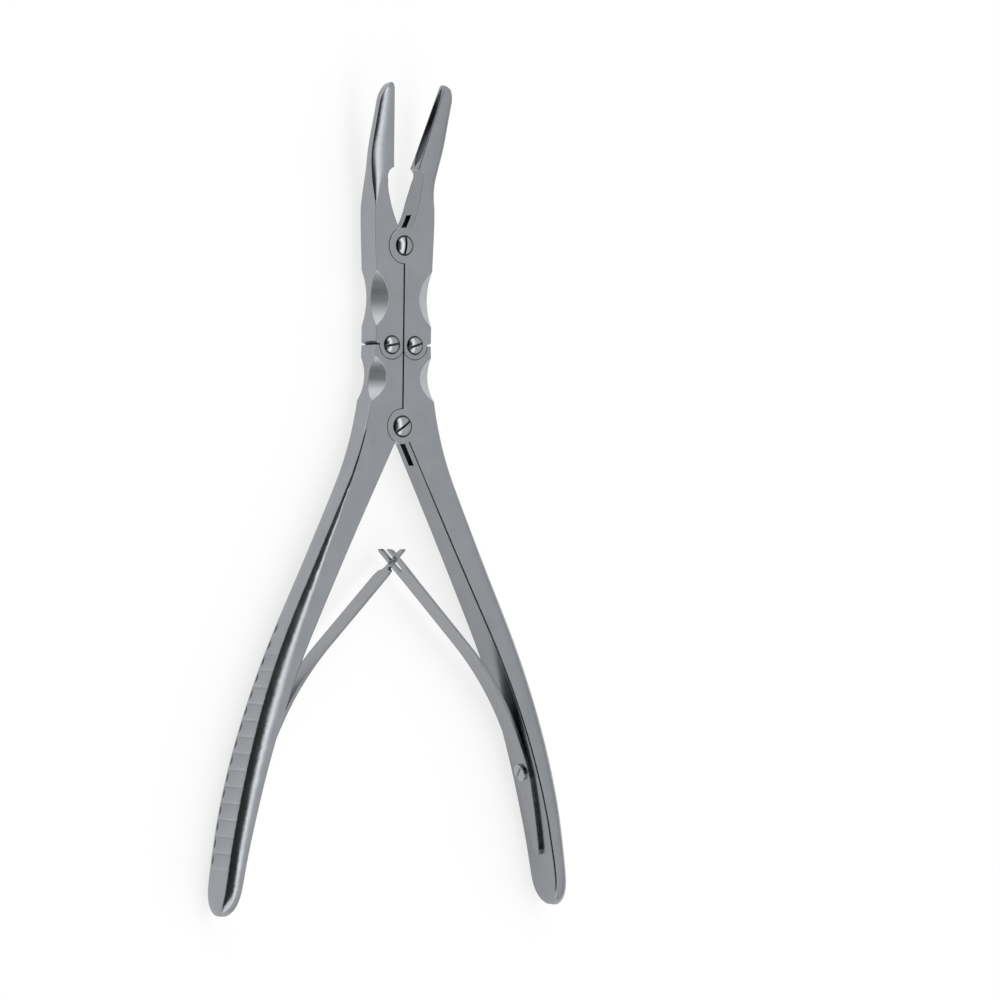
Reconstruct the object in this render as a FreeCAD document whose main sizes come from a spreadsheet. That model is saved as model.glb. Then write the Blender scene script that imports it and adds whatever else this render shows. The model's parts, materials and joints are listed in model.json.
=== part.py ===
import FreeCAD, Part
import math
import os

# Double-action bone rongeur, 22 cm pattern, in millimetres, fully open.
# Two handles cross at the handle pivot and two jaws cross at the jaw pivot.
# A link pivot on each side joins a handle to the jaw of the same side, so
# the four levers form a kite that closes the jaws with doubled force.
# While it is modelled, the handle pivot is the origin, +X is the right side,
# +Y points to the jaw tips and +Z is the side with the screw heads.
# The finished pieces are then set down on the floor, centred on the origin.

os.makedirs("parts", exist_ok=True)
doc = FreeCAD.newDocument("bone_rongeur")

SIZES = [
    ("block_thickness", 7.4, "joint block, face to face"),
    ("joint_half_width", 8.8, "centre line to side of the joint block"),
    ("milling_allowance", 0.05, "handle forging over the block's face, each side"),
    ("centre_gap", 0.4, "slit between left and right levers"),
    ("stop_gap", 0.45, "slit between handle and jaw, the opening stop"),
    ("stop_chamfer", 0.75, "jaw corner broken where that slit runs out"),
    ("tongue_thickness", 2.4, "middle layer of each joint"),
    ("layer_gap", 0.05, "tongue to fork, each face"),
    ("ring_gap", 0.15, "boss rim to the lever beside it"),
    ("handle_arm", 21.8, "handle pivot to link pivot"),
    ("handle_arm_angle", 9.5, "handle arm from the centre line, open"),
    ("jaw_arm", 26.6, "jaw pivot to link pivot"),
    ("handle_swing", 13.0, "closing turn of each handle"),
    ("jaw_boss_radius", 4.75, "round boss at the jaw pivot"),
    ("handle_boss_radius", 4.65, "round boss at the handle pivot"),
    ("link_boss_radius", 3.75, "round boss at each link pivot"),
    ("jaw_pin_radius", 1.8, "shank of the jaw pivot screw"),
    ("handle_pin_radius", 1.8, "shank of the handle pivot screw"),
    ("link_pin_radius", 1.5, "shank of each link screw"),
    ("jaw_pin_clearance", 0.06, "radial, takes up the linkage error"),
    ("pin_clearance", 0.03, "radial, other pivots"),
    ("thread_clearance", 0.01, "screw in its own lever"),
    ("jaw_head_radius", 2.55, "head of the jaw pivot screw"),
    ("handle_head_radius", 2.75, "head of the handle pivot screw"),
    ("link_head_radius", 2.35, "head of each link screw"),
    ("pivot_head_rim", 1.05, "straight side of a pivot screw head"),
    ("pivot_head_dome", 0.75, "dome on a pivot screw head"),
    ("pivot_head_slot_width", 0.6, "screwdriver slot"),
    ("pivot_head_slot_depth", 0.85, "screwdriver slot, from the dome top"),
    ("head_seat_depth", 0.9, "counterbore under a pivot screw head"),
    ("head_seat_gap", 0.15, "counterbore wall to head"),
    ("screw_end_gap", 0.15, "pivot screw end below the back face"),
    ("screw_end_chamfer", 0.3, "end of every screw"),
    ("shoulder_start", 21.5, "pivot up to where the block side starts to flare"),
    ("shoulder_radius", 88.4, "flare from the block into the neck"),
    ("neck_outer_angle", 25.5, "outer edge of the neck"),
    ("neck_inner_angle", 26.75, "inner edge of the neck"),
    ("outer_bow_start", 47.7, "pivot to the bow of the outer edge"),
    ("outer_bow_radius", 233.7, "bow of the outer edge"),
    ("inner_bow_start", 53.1, "pivot to the bow of the inner edge"),
    ("inner_bow_radius", 232.3, "bow of the inner edge"),
    ("handle_length", 128.4, "handle pivot to handle end"),
    ("handle_end_round", 9.0, "length of the rounded handle end"),
    ("neck_thickness", 8.15, "handle neck, front to back"),
    ("neck_distance", 45.0, "pivot to where the neck has that thickness"),
    ("palm_thickness", 13.1, "handle at its thickest"),
    ("palm_distance", 102.0, "pivot to the thickest place"),
    ("swell_start", 24.0, "pivot to the start of the palm swell"),
    ("heel_thickness", 12.3, "handle before its rounded end"),
    ("block_corner", 0.3, "outer corner rounding at the block"),
    ("palm_corner", 2.3, "outer corner rounding at the palm"),
    ("corner_rise", 15.0, "pivot up to where the rounding starts to grow"),
    ("corner_full", 50.0, "pivot down to the full rounding"),
    ("corner_spread", 2.5, "how much wider the rounding is on the front face"),
    ("spread_start", 25.0, "pivot to where the rounding starts to widen"),
    ("spread_full", 75.0, "pivot to the widest rounding"),
    ("widest_corner", 0.7, "largest rounding as a share of the half width"),
    ("inner_chamfer", 0.35, "inner edges of the handle"),
    ("outer_crown", 0.18, "crown of the handle's outer face"),
    ("groove_radius", 6.3, "grip groove between two ridges"),
    ("ridge_depth", 0.32, "grip groove at its middle"),
    ("ridge_pitch", 4.3, "ridge to ridge along the outer face"),
    ("ridge_first", 53.5, "pivot to the first groove"),
    ("ridge_margin", 0.25, "groove end to the rounded corner"),
    ("ridge_count", 15, "grooves on each handle"),
    ("runout_radius", 800.0, "where the milled block face fades out"),
    ("runout_start", 5.0, "pivot to the end of the flat block face"),
    ("scoop_depth", 2.2, "scallop, from the block's corner"),
    ("scoop_tilt", 33.0, "scallop floor against the front face"),
    ("jaw_scoop_radius", 14.0, "scallop on the jaw levers"),
    ("jaw_scoop_drop", 14.1, "jaw pivot to the middle of the scallop"),
    ("handle_scoop_radius", 9.0, "scallop on the handle levers"),
    ("handle_scoop_rise", 12.85, "handle pivot to the middle of the scallop"),
    ("jaw_length", 42.6, "jaw pivot to jaw tip"),
    ("jaw_neck_out", 9.4, "outer edge where the jaw leaves the block"),
    ("jaw_neck_drop", 12.0, "jaw pivot down to the start of that flare"),
    ("jaw_neck_rise", 9.0, "jaw pivot up to its end"),
    ("jaw_belly_out", 11.25, "outer edge at the jaw's belly"),
    ("belly_start", 11.0, "jaw pivot to the start of the belly"),
    ("belly_full", 27.0, "jaw pivot to the full belly"),
    ("jaw_root_thickness", 8.6, "jaw forging at the block"),
    ("jaw_bill_thickness", 4.2, "jaw behind the cutting cup"),
    ("jaw_tip_taper", 0.065, "thickness lost for each millimetre to the tip"),
    ("jaw_thinning_start", 5.0, "jaw pivot to the start of the thinning"),
    ("jaw_thinning_end", 25.0, "jaw pivot to the end of the thinning"),
    ("bill_corner", 0.28, "bill's outer rounding as a share of its thickness"),
    ("bill_spread", 0.76, "bill's outer rounding as a share of its width"),
    ("bill_round_start", 9.0, "jaw pivot to where that rounding starts"),
    ("bill_round_full", 24.0, "jaw pivot to the full rounding"),
    ("nose_length", 6.6, "jaw tip back to the start of the nose's rounding"),
    ("nose_round", 2.0, "length of the nose's rounding, front to back"),
    ("bend_start", 11.4, "jaw pivot to the start of the forward bend"),
    ("bend_run", 6.0, "length over which the bend builds up"),
    ("bend_angle", 18.2, "forward bend of the jaws"),
    ("bite_start", 20.6, "jaw pivot to the heel of the cutting edge"),
    ("bite_gap", 0.12, "cutting rim to cutting rim, closed"),
    ("cup_wall", 0.4, "wall of the cup at its rim"),
    ("cup_depth", 3.1, "cup at its deepest"),
    ("cup_floor", 0.62, "deepest cup as a share of the jaw's width"),
    ("cup_heel_margin", 0.6, "heel of the cutting edge to the cup"),
    ("cup_tip_margin", 0.8, "cup end to jaw tip"),
    ("throat_width", 5.4, "half width of the throat between the jaws"),
    ("throat_root", 1.7, "half width of the throat at the boss"),
    ("throat_root_rise", 4.5, "jaw pivot to the throat's root"),
    ("throat_wide_rise", 17.4, "jaw pivot to the throat's widest place"),
    ("throat_bulge", 0.75, "how far the throat's side is hollowed"),
    ("handle_mark_length", 10.3, "handle pivot to the end of the cutter's mark"),
    ("jaw_mark_length", 8.6, "jaw pivot to the end of the cutter's mark"),
    ("mark_depth", 1.4, "cutter's mark, from the lever's inner face"),
    ("leaf_width", 6.5, "spring leaf, front to back"),
    ("leaf_base_width", 7.0, "spring leaf at its screw"),
    ("leaf_thickness", 1.0, "spring leaf"),
    ("leaf_seat_gap", 0.02, "leaf to the handle it lies on"),
    ("leaf_screw_distance", 92.0, "pivot to the spring screw"),
    ("leaf_base_tail", 22.5, "spring screw to the pointed end"),
    ("leaf_lift_radius", 82.5, "bend where the leaf leaves the handle"),
    ("leaf_angle", 44.0, "straight end of the leaf from the centre line"),
    ("leaf_overlap", 4.9, "leaf end beyond the crossing"),
    ("leaf_end_round", 1.0, "rounding of the leaf ends"),
    ("tongue_width", 1.9, "tongue at the end of the left leaf"),
    ("tongue_length", 7.4, "tongue at the end of the left leaf"),
    ("fork_slot_width", 2.5, "slot in the end of the right leaf"),
    ("fork_slot_length", 8.4, "slot in the end of the right leaf"),
    ("fork_end_width", 6.8, "right leaf across its two prongs"),
    ("spring_head_radius", 2.3, "spring screw head"),
    ("spring_head_rim", 0.7, "straight side of the spring screw head"),
    ("spring_head_dome", 0.3, "dome on the spring screw head"),
    ("spring_head_slot_width", 0.7, "spring screw slot"),
    ("spring_head_slot_depth", 0.45, "spring screw slot, from the dome top"),
    ("spring_pin_radius", 1.25, "spring screw shank"),
    ("spring_pin_length", 2.6, "spring screw in the handle"),
    ("spring_hole_spare", 0.3, "spring screw end to the bottom of its hole"),
]

sheet = doc.addObject("Spreadsheet::Sheet", "Sizes")
for row, (alias, value, meaning) in enumerate(SIZES, start=1):
    sheet.set("A%d" % row, meaning)
    sheet.set("B%d" % row, str(value))
    sheet.setAlias("B%d" % row, alias)
doc.recompute()


def size(alias):
    return float(sheet.get(alias))


def bind(obj, **formulas):
    for prop, formula in formulas.items():
        obj.setExpression(prop.replace("__", "."), formula)
    return obj


def vec(x, y, z=0.0):
    return FreeCAD.Vector(x, y, z)


def smooth(start, end, value):
    share = min(max((value - start) / (end - start), 0.0), 1.0)
    return share * share * (3 - 2 * share)


def tan(degrees):
    return math.tan(math.radians(degrees))


# Pivots, worked out from the arms of the linkage

PIVOT = vec(0, 0)
link_x = size("handle_arm") * math.sin(math.radians(size("handle_arm_angle")))
link_y = size("handle_arm") * math.cos(math.radians(size("handle_arm_angle")))
jaw_y = link_y + math.sqrt(size("jaw_arm") ** 2 - link_x ** 2)
LINK = vec(link_x, link_y)
JAW = vec(0, jaw_y)

closed_angle = math.radians(size("handle_arm_angle") + size("handle_swing"))
closed_link_x = size("handle_arm") * math.sin(closed_angle)
jaw_swing = math.degrees(
    math.asin(closed_link_x / size("jaw_arm")) - math.asin(link_x / size("jaw_arm")))

front = size("block_thickness") / 2
tongue = size("tongue_thickness") / 2
inner_layer = tongue + size("layer_gap")
outer_reach = 20.0
rear_gap_line = link_y - size("stop_gap") / 4
jaw_base_y = rear_gap_line + size("stop_gap")


# Helpers for document objects

def part_feature(name, shape):
    obj = doc.addObject("Part::Feature", name)
    obj.Shape = shape
    return obj


def outline(name, edges, plane_turn=None):
    """A closed sketch on the XY plane, or turned onto another one."""
    sketch = doc.addObject("Sketcher::SketchObject", name)
    for edge in edges:
        sketch.addGeometry(edge, False)
    if plane_turn:
        sketch.Placement = FreeCAD.Placement(vec(0, 0), plane_turn)
    return sketch


def corners(points):
    """Straight sketch lines through the points, back to the first one."""
    ends = points[1:] + points[:1]
    return [Part.LineSegment(a, b) for a, b in zip(points, ends)]


def pad(name, sketch, direction, length, symmetric=True):
    """Extrude an outline by a length that is a formula of the sheet."""
    obj = doc.addObject("Part::Extrusion", name)
    obj.Base = sketch
    obj.DirMode = "Custom"
    obj.Dir = direction
    obj.Solid = True
    obj.Symmetric = symmetric
    return bind(obj, LengthFwd=length)


def disc(name, centre, radius, bottom, top):
    """An upright cylinder; radius, bottom and top are sheet formulas."""
    obj = doc.addObject("Part::Cylinder", name)
    obj.Placement.Base = centre
    height = "(%s) - (%s)" % (top, bottom)
    return bind(obj, Radius=radius, Height=height, Placement__Base__z=bottom)


def fuse(name, members):
    obj = doc.addObject("Part::MultiFuse", name)
    obj.Shapes = members
    obj.Refine = True
    return obj


def cut(name, base, tools):
    obj = doc.addObject("Part::Cut", name)
    obj.Base = base
    obj.Tool = tools[0] if len(tools) == 1 else fuse(name + "_tools", tools)
    obj.Refine = True
    return obj


def common(name, base, tool):
    obj = doc.addObject("Part::Common", name)
    obj.Base = base
    obj.Tool = tool
    obj.Refine = True
    return obj


def mirror(name, source):
    obj = doc.addObject("Part::Mirroring", name)
    obj.Source = source
    obj.Base = vec(0, 0)
    obj.Normal = vec(1, 0)
    return obj


# Sections of the forged levers

def rounded_corner(start, corner, end):
    """A quarter of an ellipse, as one Bezier curve."""
    pull = 0.5523
    curve = Part.BezierCurve()
    curve.setPoles([start, start + (corner - start) * pull, end + (corner - end) * pull, end])
    return curve.toShape()


def lever_section(y, inner, outer, middle, thickness, corner_x, corner_z, chamfer, crown):
    """A wire across a lever: flat chamfered inner side, rounded outer side."""
    back = middle - thickness / 2
    top = middle + thickness / 2
    side = outer - crown

    def at(x, z):
        return vec(x, y, z)

    crown_curve = Part.BezierCurve()
    crown_curve.setPoles([at(side, top - corner_z), at(side + 2 * crown, middle),
                          at(side, back + corner_z)])
    edges = [
        Part.makeLine(at(inner, back + chamfer), at(inner, top - chamfer)),
        Part.makeLine(at(inner, top - chamfer), at(inner + chamfer, top)),
        Part.makeLine(at(inner + chamfer, top), at(side - corner_x, top)),
        rounded_corner(at(side - corner_x, top), at(side, top), at(side, top - corner_z)),
        crown_curve.toShape(),
        rounded_corner(at(side, back + corner_z), at(side, back), at(side - corner_x, back)),
        Part.makeLine(at(side - corner_x, back), at(inner + chamfer, back)),
        Part.makeLine(at(inner + chamfer, back), at(inner, back + chamfer)),
    ]
    return Part.Wire(edges)


def even_places(start, end, step):
    """Evenly spaced places, so that a loft through them runs calmly."""
    count = math.ceil((end - start) / step)
    return [start + (end - start) * number / count for number in range(count + 1)]


# Handle blank: both edges run straight along the neck, then bow to the heel

def bowed(into_bow, start_x, angle, radius):
    """Edge position in the bow, which starts tangent to the neck line."""
    rise = math.sin(math.radians(angle)) - into_bow / radius
    return start_x + radius * (math.sqrt(1 - rise * rise) - math.cos(math.radians(angle)))


def handle_inner(distance):
    straight = min(distance, size("inner_bow_start"))
    start_x = straight * tan(size("neck_inner_angle"))
    return bowed(distance - straight, start_x, size("neck_inner_angle"), size("inner_bow_radius"))


def handle_outer(distance):
    radius = size("shoulder_radius")
    angle = math.radians(size("neck_outer_angle"))
    along = max(distance + size("shoulder_start"), 0.0)
    flare = radius * math.sin(angle)
    if along <= flare:
        return size("joint_half_width") + radius - math.sqrt(radius ** 2 - along ** 2)
    neck_x = size("joint_half_width") + radius * (1 - math.cos(angle))
    straight = min(distance, size("outer_bow_start"))
    start_x = neck_x + (straight + size("shoulder_start") - flare) * math.tan(angle)
    return bowed(distance - straight, start_x, size("neck_outer_angle"), size("outer_bow_radius"))


end_start = size("handle_length") - size("handle_end_round")


def handle_thickness(distance):
    thickness = size("block_thickness") + 2 * size("milling_allowance")
    thickness += smooth(0, size("neck_distance"), distance) * (
        size("neck_thickness") - thickness)
    thickness += smooth(size("swell_start"), size("palm_distance"), distance) * (
        size("palm_thickness") - size("neck_thickness"))
    thickness -= smooth(size("palm_distance"), end_start, distance) * (
        size("palm_thickness") - size("heel_thickness"))
    return thickness


def handle_corner(distance):
    grown = smooth(-size("corner_rise"), size("corner_full"), distance)
    return size("block_corner") + grown * (size("palm_corner") - size("block_corner"))


def handle_section(distance):
    into_end = max(distance - end_start, 0.0) / size("handle_end_round")
    narrow = math.sqrt(1 - into_end ** 4)
    thin = math.sqrt(1 - into_end ** 2)
    inner = handle_inner(distance)
    outer = handle_outer(distance)
    middle = (inner + outer) / 2
    half = (outer - inner) / 2 * narrow
    corner = handle_corner(distance)
    spread = smooth(size("spread_start"), size("spread_full"), distance)
    wide_corner = corner + spread * size("corner_spread")
    return lever_section(
        -distance, middle - half, middle + half, 0.0, handle_thickness(distance) * thin,
        min(wide_corner, 2 * size("widest_corner") * half), corner * thin,
        size("inner_chamfer") * thin * narrow, size("outer_crown") * narrow)


block_top = -rear_gap_line
stations = even_places(block_top, end_start, 8.0)
stations += [end_start + size("handle_end_round") * share for share in (0.4, 0.7, 0.88, 0.97)]
handle_forging = part_feature(
    "handle_forging", Part.makeLoft([handle_section(place) for place in stations], True, False))

# The slit on the centre line trims the inner side of the block
half_gap = size("centre_gap") / 2
beyond = 60.0
slit = pad("centre_slit", outline("centre_slit_outline", corners([
    vec(-beyond, -beyond), vec(-half_gap, -half_gap / tan(size("neck_inner_angle"))),
    vec(half_gap, -half_gap / tan(size("neck_inner_angle"))),
    vec(half_gap, 2 * beyond), vec(-beyond, 2 * beyond)])), vec(0, 0, 1), "40")

# Turns an outline's X into +Y and its Y into +Z, to be padded along X
SIDE_VIEW = FreeCAD.Rotation(vec(0, 1), vec(0, 0, 1), vec(1, 0), "ZXY")


def milled_face(name, side):
    """What the cutter takes off the forging to leave the flat block face."""
    top = side * front
    runout = size("runout_radius")
    start = -size("runout_start")

    def faded(run):
        return vec(start - run, top + side * (runout - math.sqrt(runout ** 2 - run ** 2)))

    end = faded(size("neck_distance"))
    high = top + side * outer_reach
    far_y = jaw_y + size("bend_start") + size("bend_run") / 2
    edges = [Part.Arc(vec(start, top), faded(size("neck_distance") / 2), end),
             Part.LineSegment(end, vec(end.x, high)),
             Part.LineSegment(vec(end.x, high), vec(far_y, high)),
             Part.LineSegment(vec(far_y, high), vec(far_y, top)),
             Part.LineSegment(vec(far_y, top), vec(start, top))]
    return pad(name, outline(name + "_outline", edges, SIDE_VIEW), vec(1, 0), "60")


front_milling = milled_face("front_milling", 1)
back_milling = milled_face("back_milling", -1)


# Grip grooves across the flat of the handle's outer face

def grip_groove(number):
    distance = size("ridge_first") + number * size("ridge_pitch")
    step = 0.5
    slope = (handle_outer(distance + step) - handle_outer(distance - step)) / (2 * step)
    normal = vec(1, slope)
    normal.normalize()
    lift = size("groove_radius") - size("ridge_depth")
    centre = vec(handle_outer(distance), -distance) + normal * lift
    margin = handle_corner(distance) + size("ridge_margin")
    obj = doc.addObject("Part::Cylinder", "grip_groove_%d" % (number + 1))
    obj.Height = handle_thickness(distance) - 2 * margin
    obj.Placement.Base = centre - vec(0, 0, obj.Height.Value / 2)
    return bind(obj, Radius="Sizes.groove_radius")


def scoop(name, x, y, radius, side):
    """A scallop across the corner of the block, on the front or the back."""
    tilt = math.radians(size("scoop_tilt"))
    normal = vec(math.sin(tilt), 0, side * math.cos(tilt))
    along = vec(math.cos(tilt), 0, -side * math.sin(tilt))
    axis_point = vec(x, y, side * front) + normal * (size(radius) - size("scoop_depth"))
    obj = doc.addObject("Part::Cylinder", name)
    obj.Height = 2 * outer_reach
    obj.Placement = FreeCAD.Placement(
        axis_point - along * outer_reach, FreeCAD.Rotation(vec(0, 0, 1), along))
    return bind(obj, Radius="Sizes." + radius)


grooves = [grip_groove(number) for number in range(int(size("ridge_count")))]
handle_scoops = [
    scoop("handle_scoop_" + word, handle_outer(-size("handle_scoop_rise")),
          size("handle_scoop_rise"), "handle_scoop_radius", side)
    for word, side in (("front", 1), ("back", -1))]
handle_blank = cut("handle_blank", handle_forging,
                   [slit, front_milling, back_milling] + grooves + handle_scoops)


# Jaw blank: the block below the jaw pivot, then a bent bill with a cup

def closing_line(height):
    return height * tan(jaw_swing) + size("bite_gap") / 2


def bend_offset(height):
    slope = tan(size("bend_angle"))
    into = max(height - size("bend_start"), 0.0)
    if into < size("bend_run"):
        return slope * into ** 2 / (2 * size("bend_run"))
    return slope * (into - size("bend_run") / 2)


def bill_thickness(height):
    thinning = smooth(size("jaw_thinning_start"), size("jaw_thinning_end"), height)
    thick = size("jaw_root_thickness")
    thick -= thinning * (size("jaw_root_thickness") - size("jaw_bill_thickness"))
    return thick - max(height - size("jaw_thinning_end"), 0.0) * size("jaw_tip_taper")


def jaw_outer(height):
    neck = smooth(-size("jaw_neck_drop"), size("jaw_neck_rise"), height)
    edge = size("joint_half_width")
    edge += neck * (size("jaw_neck_out") - size("joint_half_width"))
    belly = smooth(size("belly_start"), size("belly_full"), height)
    return edge + belly * (size("jaw_belly_out") - size("jaw_neck_out"))


def jaw_section(height):
    thickness = bill_thickness(height)
    inner = closing_line(height)
    outer = jaw_outer(height)
    rounding = smooth(size("bill_round_start"), size("bill_round_full"), height)
    sharp = size("block_corner")
    corner_z = sharp + rounding * (size("bill_corner") * thickness - sharp)
    corner_x = sharp + rounding * (size("bill_spread") * (outer - inner) - sharp)
    crown = 0.02 * (outer - inner)
    chamfer = 0.03 * thickness
    return lever_section(jaw_y + height, inner, outer, bend_offset(height), thickness,
                         corner_x, corner_z, chamfer, crown)


past_tip = 1.0
root_height = 4.0
heights = even_places(jaw_base_y - jaw_y, root_height, 6.0)
heights += even_places(root_height, size("jaw_length") + past_tip, 4.0)[1:]
jaw_forging = part_feature(
    "jaw_forging", Part.makeLoft([jaw_section(height) for height in heights], True, False))

# The nose is rounded twice: its outer side seen from the front, then front to back
tip_y = jaw_y + size("jaw_length")
nose_start = size("jaw_length") - size("nose_length")
nose_y = jaw_y + nose_start
nose_out = jaw_outer(size("jaw_length"))
nose_in = closing_line(size("jaw_length")) - past_tip / 2
quarter = Part.ArcOfEllipse(
    Part.Ellipse(vec(nose_in, tip_y), vec(nose_out, nose_y), vec(nose_in, nose_y)),
    0, math.pi / 2)
nose_outside = pad("nose_outside", outline("nose_outside_outline", [
    quarter, Part.LineSegment(quarter.StartPoint, vec(-beyond, tip_y)),
    Part.LineSegment(vec(-beyond, tip_y), vec(-beyond, 3 * beyond)),
    Part.LineSegment(vec(-beyond, 3 * beyond), vec(beyond, 3 * beyond)),
    Part.LineSegment(vec(beyond, 3 * beyond), vec(beyond, nose_y)),
    Part.LineSegment(vec(beyond, nose_y), quarter.EndPoint)]), vec(0, 0, 1), "60")

bend = math.radians(size("bend_angle"))
bill_way = vec(math.cos(bend), math.sin(bend))
bill_square = vec(-math.sin(bend), math.cos(bend))
nose_height = size("jaw_length") - size("nose_round")
nose_middle = vec(jaw_y + nose_height, bend_offset(nose_height))
outside_bill = 0.05
nose_half = bill_thickness(nose_height) * math.cos(bend) / 2 + outside_bill
half_turn = Part.ArcOfEllipse(
    Part.Ellipse(nose_middle + bill_way * size("nose_round"),
                 nose_middle + bill_square * nose_half, nose_middle), -math.pi / 2, math.pi / 2)
front_side = nose_middle + bill_square * outer_reach
back_side = nose_middle - bill_square * outer_reach
nose_front_back = pad("nose_front_back", outline("nose_front_back_outline", [
    half_turn, Part.LineSegment(half_turn.EndPoint, front_side),
    Part.LineSegment(front_side, front_side + bill_way * outer_reach),
    Part.LineSegment(front_side + bill_way * outer_reach, back_side + bill_way * outer_reach),
    Part.LineSegment(back_side + bill_way * outer_reach, back_side),
    Part.LineSegment(back_side, half_turn.StartPoint)], SIDE_VIEW), vec(1, 0), "60")


def cup_section(share):
    """A wire across the cup, from its heel at 0 to its tip end at 1."""
    heel = size("bite_start") + size("cup_heel_margin")
    tip = size("jaw_length") - size("cup_tip_margin")
    height = heel + share * (tip - heel)
    rim = closing_line(height)
    fullness = math.sqrt(1 - abs(2 * share - 1) ** 3)
    into_nose = max(height - nose_start, 0) / size("nose_length")
    room = (jaw_outer(height) - rim) * math.sqrt(1 - into_nose ** 2)
    width = (bill_thickness(height) - 2 * size("cup_wall")) * (0.12 + 0.88 * fullness)
    depth = min(size("cup_depth"), size("cup_floor") * room) * (0.1 + 0.9 * fullness)
    outside = 0.5
    corner_x = 0.75 * depth
    corner_z = 0.44 * width
    return lever_section(jaw_y + height, rim - outside, rim + depth, bend_offset(height), width,
                         corner_x, corner_z, 0.02 * width, 0.05)


cup = part_feature("cup", Part.makeLoft(
    [cup_section(share) for share in (0.0, 0.1, 0.35, 0.65, 0.9, 1.0)], True, False))

# The throat below the cutting edges, from the boss to the heel of the bite
root = vec(size("throat_root"), jaw_y + size("throat_root_rise"))
wide = vec(size("throat_width"), jaw_y + size("throat_wide_rise"))
hollow = (root + wide) * 0.5 + vec(size("throat_bulge"), -0.2)
heel = vec(closing_line(size("bite_start")), jaw_y + size("bite_start"))
heel_middle = vec(size("throat_width") - 0.15, (wide.y + heel.y) / 2 + 0.5)
throat = pad("throat", outline("throat_outline", [
    Part.Arc(root, hollow, wide), Part.Arc(wide, heel_middle, heel),
    Part.LineSegment(heel, vec(-beyond, heel.y)),
    Part.LineSegment(vec(-beyond, heel.y), vec(-beyond, jaw_y)),
    Part.LineSegment(vec(-beyond, jaw_y), vec(half_gap, jaw_y)),
    Part.LineSegment(vec(half_gap, jaw_y), root)]), vec(0, 0, 1), "60")
jaw_slit = pad("jaw_slit", outline("jaw_slit_outline", corners([
    vec(-beyond, -beyond), vec(half_gap, -beyond), vec(half_gap, jaw_y),
    vec(-beyond, jaw_y)])), vec(0, 0, 1), "60")
stop_corner = vec(size("joint_half_width"), jaw_base_y)
broken = size("stop_chamfer")
stop_notch = pad("stop_notch", outline("stop_notch_outline", corners([
    stop_corner + vec(-2 * broken, -broken), stop_corner + vec(broken, -broken),
    stop_corner + vec(broken, 2 * broken)])), vec(0, 0, 1), "60")
jaw_scoops = [
    scoop("jaw_scoop_" + word, jaw_outer(-size("jaw_scoop_drop")),
          jaw_y - size("jaw_scoop_drop"), "jaw_scoop_radius", side)
    for word, side in (("front", 1), ("back", -1))]
jaw_blank = cut("jaw_blank", jaw_forging, [
    nose_outside, nose_front_back, cup, throat, jaw_slit, stop_notch, front_milling,
    back_milling] + jaw_scoops)


# Joints: a fork of two round cheeks on one lever holds a round tongue

CHEEK_TOP = "Sizes.block_thickness / 2"
CHEEK_BOTTOM = "(Sizes.tongue_thickness / 2 + Sizes.layer_gap)"
TONGUE_TOP = "Sizes.tongue_thickness / 2"
OUTSIDE = "(Sizes.block_thickness / 2 + 3)"


def boss(name, centre, radius, bottom, top):
    """A round boss; beside the centre line it is cut flat along the slit."""
    if centre.x == 0:
        return disc(name, centre, "Sizes." + radius, bottom, top)
    side = math.copysign(1, centre.x)
    across_slit = abs(centre.x) - half_gap
    half_chord = math.sqrt(size(radius) ** 2 - across_slit ** 2)
    low = vec(side * half_gap, centre.y - half_chord)
    high = vec(side * half_gap, centre.y + half_chord)
    far = vec(centre.x + side * size(radius), centre.y)
    sketch = outline(name + "_outline", [Part.Arc(low, far, high), Part.LineSegment(high, low)])
    bind(sketch, Placement__Base__z=bottom)
    return pad(name, sketch, vec(0, 0, 1), "(%s) - (%s)" % (top, bottom), symmetric=False)


def cheeks(name, centre, radius):
    """Front and back bosses of a fork."""
    return [boss(name + "_cheek_front", centre, radius, CHEEK_BOTTOM, CHEEK_TOP),
            boss(name + "_cheek_back", centre, radius, "-" + CHEEK_TOP, "-" + CHEEK_BOTTOM)]


def tongue_boss(name, centre, radius):
    return boss(name + "_tongue", centre, radius, "-" + TONGUE_TOP, TONGUE_TOP)


def cheek_room(name, centre, radius):
    """Space that a fork's cheeks turn in, taken off the tongue's lever."""
    wide = "Sizes.%s + Sizes.ring_gap" % radius
    return [disc(name + "_cheek_room_front", centre, wide, TONGUE_TOP, OUTSIDE),
            disc(name + "_cheek_room_back", centre, wide, "-" + OUTSIDE, "-" + TONGUE_TOP)]


def tongue_room(name, centre, radius):
    """Space that the tongue turns in, taken off the fork's lever."""
    wide = "Sizes.%s + Sizes.ring_gap" % radius
    return disc(name + "_tongue_room", centre, wide, "-" + CHEEK_BOTTOM, CHEEK_BOTTOM)


def bore(name, centre, radius, clearance):
    return disc(name + "_bore", centre, "Sizes.%s + Sizes.%s" % (radius, clearance),
                "-" + OUTSIDE, OUTSIDE)


def head_seat(name, centre, radius):
    return disc(name + "_head_seat", centre, "Sizes.%s + Sizes.head_seat_gap" % radius,
                "Sizes.block_thickness / 2 - Sizes.head_seat_depth", OUTSIDE)


def cutter_mark(name, start, end):
    """The square end of the cutter's way into a fork; the lever lies left of start to end."""
    along = end - start
    inwards = vec(-along.y, along.x)
    inwards.normalize()
    deep = inwards * size("mark_depth")
    clear = inwards * -1.0
    return pad(name, outline(name + "_outline", corners([
        start + clear, end + clear, end + deep, start + deep])), vec(0, 0, 1),
        "2 * " + CHEEK_BOTTOM)


def at_side(centre, side):
    return vec(side * centre.x, centre.y)


def lever(label, blank, rooms, bosses, holes):
    """Room for the other levers comes off the blank, then its own bosses go on."""
    shaped = cut(label + "_shaped", blank, rooms)
    return cut(label, fuse(label + "_joined", [shaped] + bosses), holes)


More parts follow.
